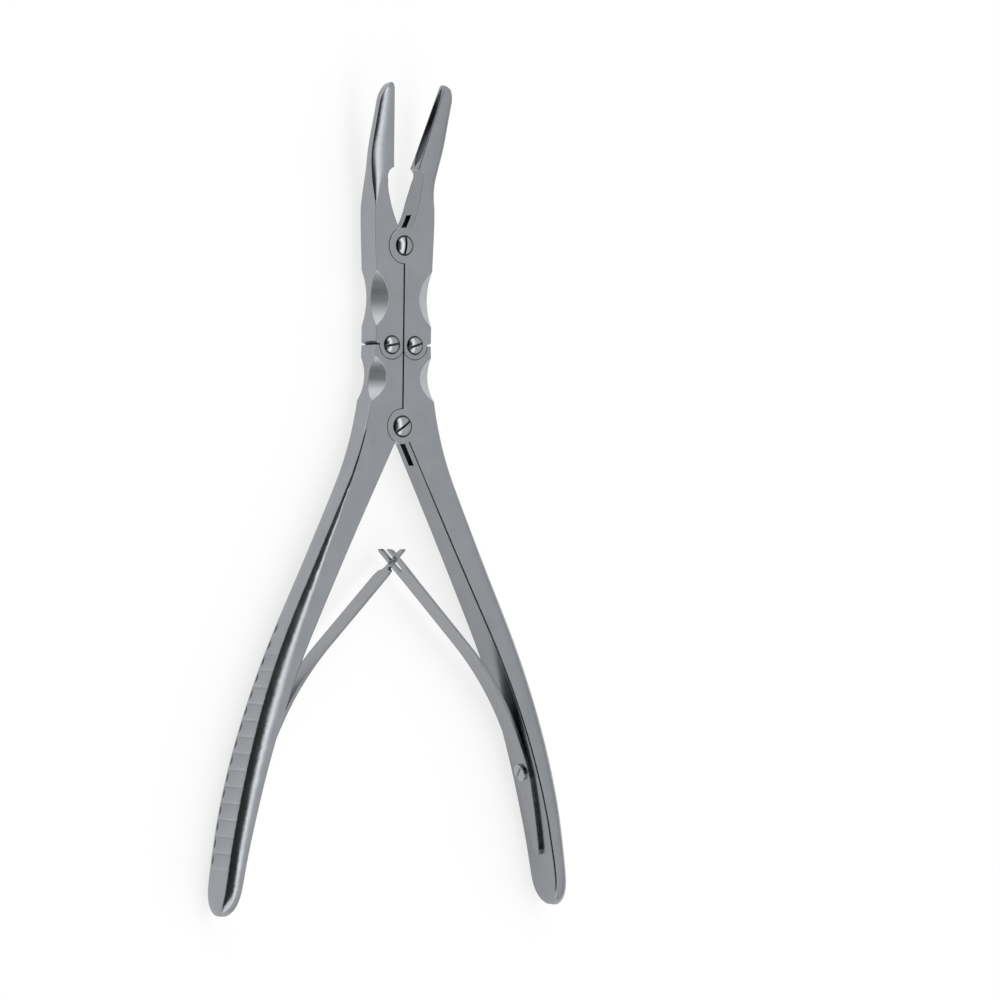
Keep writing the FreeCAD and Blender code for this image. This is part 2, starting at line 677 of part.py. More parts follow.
def fork_holes(name, centre, pin, head):
    """Threaded bore and counterbored seat of the screw that rides in a fork."""
    return [bore(name, centre, pin, "thread_clearance"), head_seat(name, centre, head)]


left_handle_blank = mirror("left_handle_blank", handle_blank)
left_jaw_blank = mirror("left_jaw_blank", jaw_blank)
left_link = at_side(LINK, -1)


# Spring leaves and their screws

def leaf_point(distance, lift):
    """A point off the handle's inner face, by lift towards the middle."""
    step = 0.05
    slope = (handle_inner(distance + step) - handle_inner(distance - step)) / (2 * step)
    normal = vec(-1, -slope)
    normal.normalize()
    return vec(handle_inner(distance), -distance) + normal * lift


def inner_heading(distance):
    rise = math.sin(math.radians(size("neck_inner_angle")))
    rise -= (distance - size("inner_bow_start")) / size("inner_bow_radius")
    return math.asin(rise)


screw_at = size("leaf_screw_distance")
tail_at = screw_at + size("leaf_base_tail")
spring_seat = leaf_point(screw_at, 0.0)
spring_heading = inner_heading(screw_at)
spring_normal = vec(-math.cos(spring_heading), -math.sin(spring_heading))
leaf_heading = math.radians(size("leaf_angle"))


def leaf_side(lift):
    """One long side of the leaf seen from the front, tail to tip."""
    start = leaf_point(screw_at, lift)
    seated = Part.Arc(leaf_point(tail_at, lift), leaf_point((tail_at + screw_at) / 2, lift),
                      start)
    radius = size("leaf_lift_radius") + lift

    def lifted(angle):
        return start + vec(radius * (math.cos(angle) - math.cos(spring_heading)),
                           radius * (math.sin(angle) - math.sin(spring_heading)))

    bend_end = lifted(leaf_heading)
    bend = Part.Arc(start, lifted((spring_heading + leaf_heading) / 2), bend_end)
    return seated, bend, bend_end


def leaf_plate(name, half_widths):
    """The bent strip, then its outline seen from the side."""
    near = size("leaf_seat_gap")
    far = near + size("leaf_thickness")
    seated_a, bend_a, end_a = leaf_side(near)
    seated_b, bend_b, end_b = leaf_side(far)
    run = vec(-math.sin(leaf_heading), math.cos(leaf_heading))
    tip_b = end_b + run * (end_b.x / -run.x + size("leaf_overlap"))
    tip_a = end_a + run * ((tip_b - end_a).dot(run))
    edges = [seated_a, bend_a, Part.LineSegment(end_a, tip_a), Part.LineSegment(tip_a, tip_b),
             Part.LineSegment(tip_b, end_b), bend_b, seated_b,
             Part.LineSegment(leaf_point(tail_at, far), leaf_point(tail_at, near))]
    strip = pad(name + "_strip", outline(name + "_strip_outline", edges), vec(0, 0, 1),
                "Sizes.leaf_base_width + 4")
    upper = base_half_widths() + half_widths(tip_b.y)
    lower = [vec(p.x, -p.y) for p in reversed(upper)]
    side_sketch = outline(name + "_side_outline", corners(upper + lower), SIDE_VIEW)
    side = pad(name + "_side", side_sketch, vec(1, 0), "160")
    return common(name + "_leaf", strip, side)


def base_half_widths():
    """Half widths of a leaf along Y, from the pointed tail to the waist."""
    tail_y = -tail_at - 1
    half = size("leaf_width") / 2
    base = size("leaf_base_width") / 2
    return [vec(tail_y, 0.25), vec(tail_y + 2.2, 1.15), vec(-screw_at - 3.5, base - 0.25),
            vec(-screw_at - 1.5, base), vec(-screw_at + 2.5, base), vec(-screw_at + 8, half)]


def fork_half_widths(tip_y):
    """From the waist to the prongs' ends, then back down the slot."""
    slot_y = tip_y - size("fork_slot_length") * math.cos(leaf_heading)
    half = size("leaf_width") / 2
    wide = size("fork_end_width") / 2
    slot = size("fork_slot_width") / 2
    turned = size("leaf_end_round")
    return [vec(slot_y - 3, half), vec(slot_y + 0.5, wide),
            vec(tip_y - turned, wide), vec(tip_y - 0.3 * turned, wide - 0.3 * turned),
            vec(tip_y, wide - turned), vec(tip_y, slot + turned / 2),
            vec(tip_y - turned / 2, slot), vec(slot_y + slot, slot),
            vec(slot_y + slot * 0.3, slot * 0.72), vec(slot_y, slot * 0.25)]


def tongue_half_widths(tip_y):
    """From the waist over the shoulders to the end of the tongue."""
    shoulder_y = tip_y - size("tongue_length") * math.cos(leaf_heading)
    narrow = size("tongue_width") / 2
    half = size("leaf_width") / 2
    return [vec(shoulder_y - 1.6, half), vec(shoulder_y - 0.4, half - 0.5),
            vec(shoulder_y, narrow + 0.5), vec(shoulder_y + 0.5, narrow),
            vec(tip_y - 0.7, narrow), vec(tip_y - 0.2, narrow * 0.7), vec(tip_y, narrow * 0.3)]


def across(name, side, start, end):
    """A bore square to a handle's inner face, at the spring screw."""
    normal = vec(side * spring_normal.x, spring_normal.y)
    obj = doc.addObject("Part::Cylinder", name)
    obj.Placement = FreeCAD.Placement(
        at_side(spring_seat, side) + normal * start, FreeCAD.Rotation(vec(0, 0, 1), normal))
    obj.Height = end - start
    return bind(obj, Radius="Sizes.spring_pin_radius + Sizes.thread_clearance")


above_leaf = 3.0
hole_depth = size("spring_pin_length") + size("spring_hole_spare")
neck_angle = math.radians(size("neck_inner_angle"))
neck_way = vec(math.sin(neck_angle), -math.cos(neck_angle))
mark_start = 2.0
handle_mark = cutter_mark(
    "handle_mark", neck_way * mark_start,
    neck_way * (size("handle_mark_length") / math.cos(neck_angle)))
mark_share = ((size("jaw_mark_length") - size("throat_root_rise"))
              / (size("throat_wide_rise") - size("throat_root_rise")))
jaw_mark_end = root + (hollow - root) * (2 * mark_share)
jaw_mark = cutter_mark("jaw_mark", jaw_mark_end, root)

# Both handles carry a tongue at their link; the right one is the fork at the handle pivot
right_handle = lever(
    "right_handle", handle_blank,
    cheek_room("right_handle_link", LINK, "link_boss_radius")
    + [tongue_room("right_handle_pivot", PIVOT, "handle_boss_radius"), handle_mark,
       across("right_spring_hole", 1, -hole_depth, above_leaf)],
    cheeks("right_handle_pivot", PIVOT, "handle_boss_radius")
    + [tongue_boss("right_handle_link", LINK, "link_boss_radius")],
    fork_holes("right_handle_pivot", PIVOT, "handle_pin_radius", "handle_head_radius")
    + [bore("right_handle_link", LINK, "link_pin_radius", "pin_clearance")])

left_handle = lever(
    "left_handle", left_handle_blank,
    cheek_room("left_handle_link", left_link, "link_boss_radius")
    + cheek_room("left_handle_pivot", PIVOT, "handle_boss_radius")
    + [across("left_spring_hole", -1, -hole_depth, above_leaf)],
    [tongue_boss("left_handle_link", left_link, "link_boss_radius"),
     tongue_boss("left_handle_pivot", PIVOT, "handle_boss_radius")],
    [bore("left_handle_link", left_link, "link_pin_radius", "pin_clearance"),
     bore("left_handle_pivot", PIVOT, "handle_pin_radius", "pin_clearance")])

# Both jaws are forks at their link; the right one is also the fork at the jaw pivot
right_jaw = lever(
    "right_jaw", jaw_blank,
    [tongue_room("right_jaw_link", LINK, "link_boss_radius"),
     tongue_room("right_jaw_pivot", JAW, "jaw_boss_radius"), jaw_mark],
    cheeks("right_jaw_link", LINK, "link_boss_radius")
    + cheeks("right_jaw_pivot", JAW, "jaw_boss_radius"),
    fork_holes("right_jaw_link", LINK, "link_pin_radius", "link_head_radius")
    + fork_holes("right_jaw_pivot", JAW, "jaw_pin_radius", "jaw_head_radius"))

left_jaw = lever(
    "left_jaw", left_jaw_blank,
    [tongue_room("left_jaw_link", left_link, "link_boss_radius")]
    + cheek_room("left_jaw_pivot", JAW, "jaw_boss_radius"),
    cheeks("left_jaw_link", left_link, "link_boss_radius")
    + [tongue_boss("left_jaw_pivot", JAW, "jaw_boss_radius")],
    fork_holes("left_jaw_link", left_link, "link_pin_radius", "link_head_radius")
    + [bore("left_jaw_pivot", JAW, "jaw_pin_radius", "jaw_pin_clearance")])

right_spring = cut("right_spring", leaf_plate("right_spring", fork_half_widths),
                   [across("right_leaf_hole", 1, -1.0, above_leaf)])
left_leaf = mirror("left_spring_leaf", leaf_plate("left_spring_plain", tongue_half_widths))
left_spring = cut("left_spring", left_leaf, [across("left_leaf_hole", -1, -1.0, above_leaf)])


# Screws: a revolved profile with a domed head, and a slot across the head

def screw_profile(body, label, length, pin, head, rim, dome):
    """Half the screw's profile on the body's XZ plane, closed along its axis."""
    plane = [f for f in body.Origin.OriginFeatures if f.Role == "XZ_Plane"][0]
    sketch = body.newObject("Sketcher::SketchObject", label + "_profile")
    sketch.AttachmentSupport = [(plane, "")]
    sketch.MapMode = "FlatFace"
    tip = size("screw_end_chamfer")
    points = [vec(0, -length), vec(pin - tip, -length), vec(pin, tip - length), vec(pin, 0),
              vec(head, 0), vec(head, rim)]
    for first, second in zip(points[:-1], points[1:]):
        sketch.addGeometry(Part.LineSegment(first, second), False)
    top = vec(0, rim + dome)
    radius = (head ** 2 + dome ** 2) / (2 * dome)
    turn = math.asin(head / radius) / 2
    middle = top + vec(radius * math.sin(turn), -radius * (1 - math.cos(turn)))
    sketch.addGeometry(Part.Arc(points[-1], middle, top), False)
    sketch.addGeometry(Part.LineSegment(top, points[0]), False)
    return sketch


def slotted_screw(label, seat, axis, length, pin, head, style, slot_turn):
    """A screw whose head's underside lies at seat; axis points out of the head."""
    body = doc.addObject("PartDesign::Body", label + "_turned")
    rim = size(style + "_rim")
    dome = size(style + "_dome")
    turned = body.newObject("PartDesign::Revolution", label + "_revolution")
    turned.Profile = screw_profile(body, label, length, size(pin), size(head), rim, dome)
    turned.ReferenceAxis = (turned.Profile[0], ["V_Axis"])
    turned.Angle = 360
    slot = doc.addObject("Part::Box", label + "_slot")
    bind(slot, Length="3 * Sizes." + head, Width="Sizes.%s_slot_width" % style,
         Height="Sizes.%s_slot_depth + 1" % style)
    spin = FreeCAD.Rotation(vec(0, 0, 1), slot_turn)
    low_corner = vec(-1.5 * size(head), -size(style + "_slot_width") / 2)
    slot_floor = vec(0, 0, rim + dome - size(style + "_slot_depth"))
    slot.Placement = FreeCAD.Placement(slot_floor + spin.multVec(low_corner), spin)
    screw = cut(label, body, [slot])
    screw.Placement = FreeCAD.Placement(seat, FreeCAD.Rotation(vec(0, 0, 1), axis))
    return screw


def pivot_screw(label, centre, pin, head, slot_turn):
    seat = front - size("head_seat_depth")
    length = seat + front - size("screw_end_gap")
    return slotted_screw(label, centre + vec(0, 0, seat), vec(0, 0, 1), length, pin, head,
                         "pivot_head", slot_turn)


def spring_screw(label, side, slot_turn):
    normal = vec(side * spring_normal.x, spring_normal.y)
    under_head = 2 * size("leaf_seat_gap") + size("leaf_thickness")
    return slotted_screw(label, at_side(spring_seat, side) + normal * under_head, normal,
                         size("spring_pin_length") + under_head, "spring_pin_radius",
                         "spring_head_radius", "spring_head", slot_turn)


jaw_pivot_screw = pivot_screw("jaw_pivot_screw", JAW, "jaw_pin_radius", "jaw_head_radius", 86)
handle_pivot_screw = pivot_screw(
    "handle_pivot_screw", PIVOT, "handle_pin_radius", "handle_head_radius", 36)
left_link_screw = pivot_screw(
    "left_link_screw", left_link, "link_pin_radius", "link_head_radius", 11)
right_link_screw = pivot_screw(
    "right_link_screw", LINK, "link_pin_radius", "link_head_radius", 19)
left_spring_screw = spring_screw("left_spring_screw", -1, 30)
right_spring_screw = spring_screw("right_spring_screw", 1, 60)

NODES = [left_jaw, right_jaw, left_handle, right_handle, jaw_pivot_screw, handle_pivot_screw,
         left_link_screw, right_link_screw, left_spring, right_spring, left_spring_screw,
         right_spring_screw]
doc.recompute()

# Set the part down: middle of its length and width over the origin, back on the floor
reach = FreeCAD.BoundBox()
for node in NODES:
    reach.add(node.Shape.optimalBoundingBox(False, False))
settle = vec(-(reach.XMin + reach.XMax) / 2, -(reach.YMin + reach.YMax) / 2, -reach.ZMin)
for node in NODES:
    node.Label = node.Name
    node.Placement.Base = node.Placement.Base + settle
doc.recompute()

for obj in doc.Objects:
    if "Invalid" in obj.State or "Error" in obj.State:
        raise RuntimeError("%s did not build: %s" % (obj.Name, obj.State))
for node in NODES:
    if node.Shape.isNull() or not node.Shape.isValid() or len(node.Shape.Solids) != 1:
        raise RuntimeError("%s is not one valid solid" % node.Label)

for node in NODES:
    node.Shape.exportStep("parts/%s.step" % node.Label)
print("set down by", settle, "jaw swing", round(jaw_swing, 3))
for name, place in (("handle", PIVOT), ("jaw", JAW), ("link", LINK)):
    print(name, "pivot at", place + settle)
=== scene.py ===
"""Looks of a double-action bone rongeur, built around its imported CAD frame.

The frame lies on its back: +Y points to the jaw tips, +X to the right handle
and +Z out of the side with the screw heads. Lengths are in metres.
"""

import json
import math

import bmesh
import bpy
from mathutils import Matrix, Vector


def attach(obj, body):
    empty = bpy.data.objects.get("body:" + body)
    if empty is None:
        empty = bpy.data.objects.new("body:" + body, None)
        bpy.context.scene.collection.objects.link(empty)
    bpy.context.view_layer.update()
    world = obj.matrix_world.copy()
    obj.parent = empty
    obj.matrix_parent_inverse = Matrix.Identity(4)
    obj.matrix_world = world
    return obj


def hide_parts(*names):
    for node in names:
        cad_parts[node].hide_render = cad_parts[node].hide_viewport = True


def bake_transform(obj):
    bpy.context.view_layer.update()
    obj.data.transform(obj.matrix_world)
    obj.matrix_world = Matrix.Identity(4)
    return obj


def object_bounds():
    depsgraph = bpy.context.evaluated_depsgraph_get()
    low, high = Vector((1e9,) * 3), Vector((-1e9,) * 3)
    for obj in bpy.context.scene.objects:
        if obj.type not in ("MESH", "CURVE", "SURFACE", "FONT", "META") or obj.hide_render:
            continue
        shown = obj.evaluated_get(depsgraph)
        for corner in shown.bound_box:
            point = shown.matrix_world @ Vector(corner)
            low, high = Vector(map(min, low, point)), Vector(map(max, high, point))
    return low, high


bl_info = {
    "name": "Bone rongeur",
    "version": (1, 0, 0),
    "blender": (4, 5, 0),
    "location": "3D Viewport > Sidebar > Rongeur",
    "description": "Dresses a surgical rongeur in satin steel and sets it on a photo stage",
    "category": "Add Mesh",
}

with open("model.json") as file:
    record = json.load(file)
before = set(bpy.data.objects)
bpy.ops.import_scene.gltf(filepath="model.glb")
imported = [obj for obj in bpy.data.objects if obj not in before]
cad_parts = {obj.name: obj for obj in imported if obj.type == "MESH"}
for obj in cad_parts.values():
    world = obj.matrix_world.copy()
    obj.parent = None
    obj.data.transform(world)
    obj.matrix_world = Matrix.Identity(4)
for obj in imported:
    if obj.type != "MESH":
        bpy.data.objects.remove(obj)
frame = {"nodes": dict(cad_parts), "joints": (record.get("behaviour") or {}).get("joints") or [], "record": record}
CAD_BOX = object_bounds()
MM = 0.001


def joint_place(name):
    """Where a joint of the frame sits at rest."""
    joint = [j for j in frame["joints"] if j["name"] == name][0]
    return Vector(joint["pos_m"])


def node_middle(node):
    """Middle of a CAD node's box."""
    points = [vertex.co for vertex in frame["nodes"][node].data.vertices]
    low = Vector([min(point[axis] for point in points) for axis in range(3)])
    high = Vector([max(point[axis] for point in points) for axis in range(3)])
    return (low + high) / 2


HANDLE_PIVOT = joint_place("handle_pivot")
JAW_PIVOT = Vector((0, node_middle("jaw_pivot_screw").y, HANDLE_PIVOT.z))

# The joint block, measured from the middle of the levers' thickness
BLOCK_HALF = 3.7 * MM
BLOCK_FOOT = HANDLE_PIVOT.y - 1.5 * MM
BLOCK_HEAD = JAW_PIVOT.y + 3.4 * MM
JOINT_REACH = 8.2 * MM
SCALLOP_FROM_CENTRE = 4 * MM
SCALLOP_FROM_MIDDLE = 0.9 * MM
FRONT_SKIN = 0.03 * MM

# The heads of the pivot screws
HEAD_FLOOR = HANDLE_PIVOT.z + 2.9 * MM
SLOT_TOP = HANDLE_PIVOT.z + BLOCK_HALF + 0.15 * MM
HEAD_RIM = 0.12 * MM

# The grip ridges, counted towards the handles' ends
RIDGE_PITCH = 4.3 * MM
RIDGE_COUNT = 15
FIRST_CREST = HANDLE_PIVOT.y - 53.5 * MM + RIDGE_PITCH / 2
RIDGE_FADE_IN = 4.0
# Painted light: brightness from one crest with its painted highlight over the painted shade at the foot of its
# groove to the next crest
RIDGE_PAINTED_LIGHT = ((0.0, 1.14), (0.06, 1.0), (0.1, 0.82), (0.2, 0.95), (0.6, 0.99),
              (0.92, 1.03), (0.96, 1.14))

# The leaf springs
LEAF_STEP = 1.6 * MM

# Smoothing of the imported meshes
MERGE_DISTANCE = 0.002 * MM
FLAT_ANGLE = math.radians(0.4)
SHARP_ANGLE = math.radians(28)

# How far the shading of the scallops turns towards the jaws
SCALLOP_LEAN = 0.14

# The left flag, in the Y of a direction: where it is tallest, how far it keeps
# that height to both sides, and how fast it falls beyond
FLAG_MIDDLE = 0.025
FLAG_HALF = 0.475
FLAG_FALL = math.radians(170)

# How far the camera aims below the middle of the instrument
AIM_DROP = 0.6 * MM


class RongeurSteel(bpy.types.PropertyGroup):
    """Colours and finish of the steel."""

    satin: bpy.props.FloatVectorProperty(
        name="Satin steel", description="Blasted faces of the levers", subtype="COLOR",
        size=3, min=0, max=1, default=(0.325, 0.34, 0.36))
    scallop: bpy.props.FloatVectorProperty(
        name="Scallop steel", description="Ground scallops on the joint block",
        subtype="COLOR", size=3, min=0, max=1, default=(0.54, 0.55, 0.575))
    leaf: bpy.props.FloatVectorProperty(
        name="Spring steel", description="Polished spring leaves", subtype="COLOR",
        size=3, min=0, max=1, default=(0.29, 0.3, 0.315))
    screw: bpy.props.FloatVectorProperty(
        name="Screw steel", description="Polished screw heads", subtype="COLOR",
        size=3, min=0, max=1, default=(0.38, 0.39, 0.41))
    # Painted shade: the inner colour is a darker copy of the satin colour, given to faces turned to the centre
    # plane
    inner: bpy.props.FloatVectorProperty(
        name="Inner steel", description="Less worn faces turned to the centre plane",
        subtype="COLOR", size=3, min=0, max=1, default=(0.275, 0.285, 0.3))
    # Painted shade: a near-black colour for the walls inside slots and seats, also mixed into the rims of the
    # screw heads
    shaded: bpy.props.FloatVectorProperty(
        name="Shaded steel", description="Unpolished walls inside slots and seats",
        subtype="COLOR", size=3, min=0, max=1, default=(0.05, 0.054, 0.06))
    grain: bpy.props.FloatProperty(
        name="Blasting grain", description="Size of the blasted grain", subtype="DISTANCE",
        unit="LENGTH", default=0.16 * MM, min=0.01 * MM)
    edge_round: bpy.props.FloatProperty(
        name="Edge rounding", description="Radius broken on every sharp edge",
        subtype="DISTANCE", unit="LENGTH", default=0.24 * MM, min=0.0)


class RongeurStage(bpy.types.PropertyGroup):
    """Camera, floor and light."""

    turn: bpy.props.FloatProperty(
        name="Camera turn", description="How far left of the front the camera stands",
        subtype="ANGLE", unit="ROTATION", default=math.radians(32))
    tilt: bpy.props.FloatProperty(
        name="Camera tilt", description="How far towards the jaws the camera stands",
        subtype="ANGLE", unit="ROTATION", default=math.radians(-0.42))
    roll: bpy.props.FloatProperty(
        name="Camera roll", description="Clockwise lean of the instrument in the picture",
        subtype="ANGLE", unit="ROTATION", default=math.radians(0.62))
    distance: bpy.props.FloatProperty(
        name="Camera distance", description="From the middle of the instrument",
        subtype="DISTANCE", unit="LENGTH", default=1.3)
    picture_width: bpy.props.FloatProperty(
        name="Width in view", description="What the square picture spans at the instrument",
        subtype="DISTANCE", unit="LENGTH", default=1000 / 3.772 * MM)
    off_centre: bpy.props.FloatProperty(
        name="Off centre", description="Instrument left of the picture's middle, in pictures",
        default=0.1055)
    softbox: bpy.props.FloatProperty(
        name="Overhead softbox", description="Brightness of the long softbox overhead",
        default=2.3, min=0.0)
    side_light: bpy.props.FloatProperty(
        name="Right side light", description="Brightness of the studio to the right",
        default=0.8, min=0.0)
    flag: bpy.props.FloatProperty(
        name="Left flag", description="Brightness of the dark flag to the left",
        default=0.05, min=0.0)


# Materials

def new_material(name, colour, metallic, roughness):
    material = bpy.data.materials.new(name)
    material.use_nodes = True
    shader = material.node_tree.nodes["Principled BSDF"]
    shader.inputs["Base Color"].default_value = (*colour, 1)
    shader.inputs["Metallic"].default_value = metallic
    shader.inputs["Roughness"].default_value = roughness
    return material, material.node_tree, shader


def feed(tree, socket, value):
    """Give a socket another node's output or a constant."""
    if isinstance(value, bpy.types.NodeSocket):
        tree.links.new(value, socket)
    else:
        socket.default_value = value


def calculate(tree, operation, *values):
    node = tree.nodes.new("ShaderNodeMath")
    node.operation = operation
    for socket, value in zip(node.inputs, values):
        feed(tree, socket, value)
    return node.outputs["Value"]


def map_range(tree, value, start, end, low=0.0, high=1.0, clamp=True):
    """The value, carried from start..end over to low..high."""
    node = tree.nodes.new("ShaderNodeMapRange")
    node.clamp = clamp
    limits = {"From Min": start, "From Max": end, "To Min": low, "To Max": high}
    for name, limit in limits.items():
        node.inputs[name].default_value = limit
    tree.links.new(value, node.inputs["Value"])
    return node.outputs["Result"]


def colour_ramp(tree, value, stops):
    """The colour at a value, between stops of (position, colour)."""
    ramp = tree.nodes.new("ShaderNodeValToRGB")
    elements = ramp.color_ramp.elements
    for number, (position, colour) in enumerate(stops):
        stop = elements[number] if number < 2 else elements.new(position)
        stop.position = position
        stop.color = (*colour, 1)
    tree.links.new(value, ramp.inputs["Fac"])
    return ramp.outputs["Color"]


def mix_colours(tree, factor, first, second, blend="MIX"):
    mix = tree.nodes.new("ShaderNodeMix")
    mix.data_type = "RGBA"
    mix.blend_type = blend
    feed(tree, mix.inputs["Factor"], factor)
    feed(tree, mix.inputs["A"], first)
    feed(tree, mix.inputs["B"], second)
    return mix.outputs["Result"]


def split(tree, vector):
    """The X, Y and Z outputs of a vector."""
    parts = tree.nodes.new("ShaderNodeSeparateXYZ")
    tree.links.new(vector, parts.inputs["Vector"])
    return parts.outputs


def noise(tree, feature, stretch=(1, 1, 1), detail=3.0):
    """Noise on object coordinates whose grains are about one feature long."""
    place = tree.nodes.new("ShaderNodeTexCoord")
    mapping = tree.nodes.new("ShaderNodeMapping")
    mapping.inputs["Scale"].default_value = stretch
    texture = tree.nodes.new("ShaderNodeTexNoise")
    texture.inputs["Scale"].default_value = 1 / feature
    texture.inputs["Detail"].default_value = detail
    tree.links.new(place.outputs["Object"], mapping.inputs["Vector"])
    tree.links.new(mapping.outputs["Vector"], texture.inputs["Vector"])
    return texture.outputs["Fac"]


def spread(tree, value, low, high):
    """The middle of a noise, stretched to run from low to high."""
    return map_range(tree, value, 0.3, 0.7, low, high)


def tint(tree, value, colour, dark, light):
    """The colour, made darker and lighter by a noise."""
    return colour_ramp(tree, value, (
        (0.3, [dark * channel for channel in colour]),
        (0.7, [light * channel for channel in colour])))


def surface(tree, shader, height, depth, edge_round, lean=0.0):
    """Small relief on top of edges that are broken by edge_round.

    A lean turns the face a little towards the jaws.
    """
    edge = tree.nodes.new("ShaderNodeBevel")
    edge.samples = 4
    edge.inputs["Radius"].default_value = edge_round
    bump = tree.nodes.new("ShaderNodeBump")
    bump.inputs["Strength"].default_value = 0.5
    bump.inputs["Distance"].default_value = depth
    tree.links.new(height, bump.inputs["Height"])
    leaning = tree.nodes.new("ShaderNodeVectorMath")
    leaning.operation = "ADD"
    leaning.inputs[1].default_value = (0, lean, 0)
    straight = tree.nodes.new("ShaderNodeVectorMath")
    straight.operation = "NORMALIZE"
    tree.links.new(edge.outputs["Normal"], leaning.inputs[0])
    tree.links.new(leaning.outputs["Vector"], straight.inputs[0])
    tree.links.new(straight.outputs["Vector"], bump.inputs["Normal"])
    tree.links.new(bump.outputs["Normal"], shader.inputs["Normal"])


def satin_steel(steel, name="satin_blasted_steel", colour=None):
    """Fine glass-bead blasting with faint clouds from handling."""
    colour = colour or steel.satin
    material, tree, shader = new_material(name, colour, 1.0, 0.24)
    clouds = noise(tree, 7 * MM, detail=4.0)
    tree.links.new(tint(tree, clouds, colour, 0.96, 1.04), shader.inputs["Base Color"])
    worn_and_lit = noise(tree, 2.5 * MM, stretch=(1, 0.35, 1))
    tree.links.new(spread(tree, worn_and_lit, 0.2, 0.27), shader.inputs["Roughness"])
    surface(tree, shader, noise(tree, steel.grain, detail=1.0), 0.004 * MM, steel.edge_round)
    return material


def ridged_steel(steel):
    """Satin steel with painted highlights on the crests of its grip ridges and painted shade at the foot of their
    grooves.
    """
    material = satin_steel(steel, "satin_ridged_steel")
    tree = material.node_tree
    shader = tree.nodes["Principled BSDF"]
    place = tree.nodes.new("ShaderNodeTexCoord")
    spot = split(tree, place.outputs["Object"])
    facing = split(tree, place.outputs["Normal"])
    ridge = map_range(tree, spot["Y"], FIRST_CREST, FIRST_CREST - RIDGE_PITCH, clamp=False)
    # Painted highlight on every crest and painted shade at the foot of every groove, repeated along the ridges
    wear_and_light = colour_ramp(tree, calculate(tree, "FRACT", ridge),
                       [(position, (level, level, level)) for position, level in RIDGE_PAINTED_LIGHT])
    side = calculate(tree, "SIGN", spot["X"])
    outwards = calculate(tree, "MULTIPLY", facing["X"], side)
    # Only on the outer face, from the first ridge to the last
    reach = map_range(tree, outwards, 0.8, 0.88)
    first = map_range(tree, ridge, 0.0, RIDGE_FADE_IN)
    last = map_range(tree, ridge, RIDGE_COUNT + 0.05, RIDGE_COUNT)
    for limit in (first, last):
        reach = calculate(tree, "MULTIPLY", reach, limit)
    plain = shader.inputs["Base Color"].links[0].from_socket
    worn_and_lit = mix_colours(tree, reach, plain, wear_and_light, "MULTIPLY")
    tree.links.new(worn_and_lit, shader.inputs["Base Color"])
    return material


def scallop_steel(steel):
    """Ground across with a wheel, so its fine lines follow the hollow."""
    material, tree, shader = new_material("ground_scallop_steel", steel.scallop, 1.0, 0.45)
    wheel = noise(tree, 0.35 * MM, stretch=(0.06, 1, 0.06), detail=2.0)
    tree.links.new(tint(tree, wheel, steel.scallop, 0.98, 1.02), shader.inputs["Base Color"])
    tree.links.new(spread(tree, wheel, 0.42, 0.48), shader.inputs["Roughness"])
    surface(tree, shader, wheel, 0.0008 * MM, steel.edge_round, SCALLOP_LEAN)
    return material


def shaded_steel(steel):
    """Painted shade on the walls inside the joints: a dull, near-black steel."""
    material, tree, shader = new_material("shaded_joint_steel", steel.shaded, 0.7, 0.55)
    shade_mottle = noise(tree, 0.8 * MM)
    tree.links.new(tint(tree, shade_mottle, steel.shaded, 0.7, 1.3), shader.inputs["Base Color"])
    tree.links.new(spread(tree, shade_mottle, 0.45, 0.65), shader.inputs["Roughness"])
    return material


def leaf_steel(steel):
    """Spring steel polished along the leaf."""
    material, tree, shader = new_material("polished_leaf_steel", steel.leaf, 1.0, 0.24)
    lines = noise(tree, 0.3 * MM, stretch=(0.05, 0.05, 1), detail=2.0)
    tree.links.new(tint(tree, lines, steel.leaf, 0.93, 1.06), shader.inputs["Base Color"])
    tree.links.new(spread(tree, lines, 0.2, 0.28), shader.inputs["Roughness"])
    surface(tree, shader, lines, 0.002 * MM, steel.edge_round)
    return material


def screw_steel(steel):
    """Turned and polished heads with painted shade round their rims."""
    material, tree, shader = new_material("polished_screw_steel", steel.screw, 1.0, 0.2)
    wear_and_light = noise(tree, 0.7 * MM)
    radial = tree.nodes.new("ShaderNodeUVMap")
    radial.uv_map = "radial"
    # Painted shade: the outer rims of the pivot and link screw heads are mixed towards the shaded colour
    rim = map_range(tree, split(tree, radial.outputs["UV"])["X"], 0.84, 0.93)
    polished = tint(tree, wear_and_light, steel.screw, 0.95, 1.05)
    rim_shade = tint(tree, wear_and_light, steel.shaded, 0.8, 1.2)
    tree.links.new(mix_colours(tree, rim, polished, rim_shade), shader.inputs["Base Color"])
    tree.links.new(spread(tree, wear_and_light, 0.17, 0.24), shader.inputs["Roughness"])
    surface(tree, shader, wear_and_light, 0.002 * MM, steel.edge_round)
    return material


def in_view(tree):
    """1 for rays from the camera and for those that metal sends on."""
    path = tree.nodes.new("ShaderNodeLightPath")
    either = path.outputs["Is Camera Ray"]
    for ray in ("Is Glossy Ray", "Is Transmission Ray"):
        either = calculate(tree, "MAXIMUM", either, path.outputs[ray])
    return either


# Pieces made from the frame's nodes

